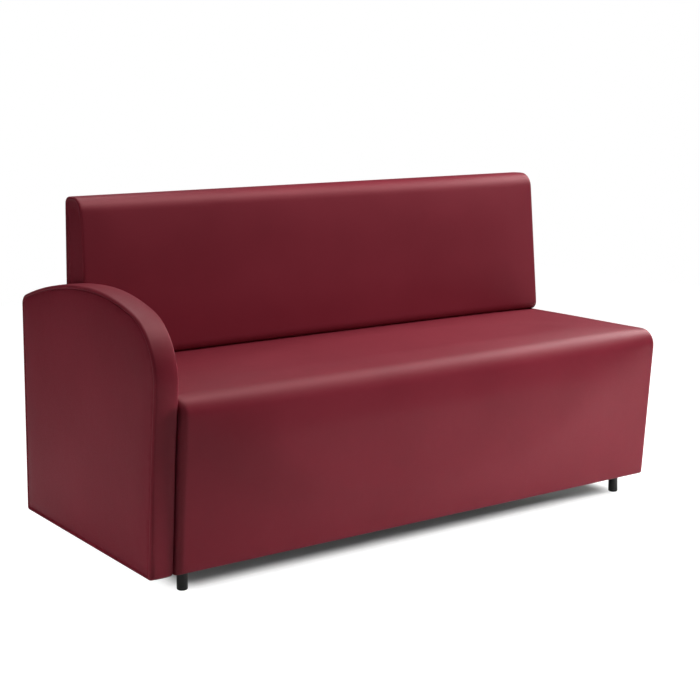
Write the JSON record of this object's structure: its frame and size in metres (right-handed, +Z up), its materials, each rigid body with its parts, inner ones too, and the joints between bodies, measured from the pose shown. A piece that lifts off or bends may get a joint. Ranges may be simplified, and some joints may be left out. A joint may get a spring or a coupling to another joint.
{
  "type": "restaurant banquette",
  "caption": "Padded restaurant banquette in smooth leatherette with a straight back, a drop-front seat, one rounded arm at the left end and short levelling feet.",
  "frame": {"origin": "on the floor under the middle of the bench's overall box", "axes": "+X along the bench, away from the arm; +Y from the seat's front to the rear; +Z up"},
  "size_m": [1.5, 0.7, 0.85],
  "materials": {
    "leatherette": "satin, fine grain",
    "foam": "open-cell, matt",
    "plywood": "raw, sanded",
    "pine": "raw, planed",
    "hardboard": "raw, smooth one side",
    "webbing": "woven elastic",
    "dust_cloth": "non-woven, matt",
    "black_steel": "black powder coat, satin",
    "zinc_steel": "zinc plated",
    "glide_plastic": "matt, moulded"
  },
  "bodies": {
    "bench": {"arm_band_cover": "leatherette", "arm_bolts": "zinc_steel", "arm_core_frame": "plywood", "arm_edge_foam": "foam", "arm_inner_board": "plywood", "arm_inner_cover": "leatherette", "arm_inner_foam": "foam", "arm_outer_board": "plywood", "arm_outer_cover": "leatherette", "arm_outer_foam": "foam", "arm_threaded_inserts": "zinc_steel", "back_bolts": "zinc_steel", "back_bottom_rails": "pine", "back_cover": "leatherette", "back_end_cover_left": "leatherette", "back_end_cover_right": "leatherette", "back_end_foam_left": "foam", "back_end_foam_right": "foam", "back_foam": "foam", "back_front_board": "plywood", "back_nuts": "zinc_steel", "back_post_left": "pine", "back_post_middle": "pine", "back_post_right": "pine", "back_rear_board": "hardboard", "back_rear_cover": "leatherette", "back_top_foam": "foam", "back_top_rail": "pine", "base_divider_left": "plywood", "base_divider_right": "plywood", "base_dust_cover": "dust_cloth", "base_end_cover_left": "leatherette", "base_end_cover_right": "leatherette", "base_end_foam_left": "foam", "base_end_foam_right": "foam", "base_end_panel_left": "plywood", "base_end_panel_right": "plywood", "base_front_foam": "foam", "base_front_panel": "plywood", "base_rear_cover": "leatherette", "base_rear_panel": "plywood", "base_spine_panel": "plywood", "foot_blocks": "pine", "foot_legs": "black_steel", "foot_screws": "zinc_steel", "foot_threaded_plugs": "glide_plastic", "ledge_foam": "foam", "rear_box_dividers": "plywood", "rear_deck_board": "plywood", "seat_cover": "leatherette", "seat_foam": "foam", "seat_front_rail": "pine", "seat_rear_rail": "pine", "seat_straps_front_to_rear": "webbing", "seat_straps_lengthwise": "webbing"},
    "glide_front_left": {"glide_front_left": "glide_plastic"},
    "glide_front_right": {"glide_front_right": "glide_plastic"},
    "glide_rear_left": {"glide_rear_left": "glide_plastic"},
    "glide_rear_right": {"glide_rear_right": "glide_plastic"}
  },
  "joints": [
    {"name": "glide_front_left_screw", "type": "slide", "parent": "bench", "child": "glide_front_left", "axis": [0, 0, -1], "range_m": [0, 0.01]},
    {"name": "glide_front_right_screw", "type": "slide", "parent": "bench", "child": "glide_front_right", "axis": [0, 0, -1], "range_m": [0, 0.01]},
    {"name": "glide_rear_left_screw", "type": "slide", "parent": "bench", "child": "glide_rear_left", "axis": [0, 0, -1], "range_m": [0, 0.01]},
    {"name": "glide_rear_right_screw", "type": "slide", "parent": "bench", "child": "glide_rear_right", "axis": [0, 0, -1], "range_m": [0, 0.01]}
  ]
}
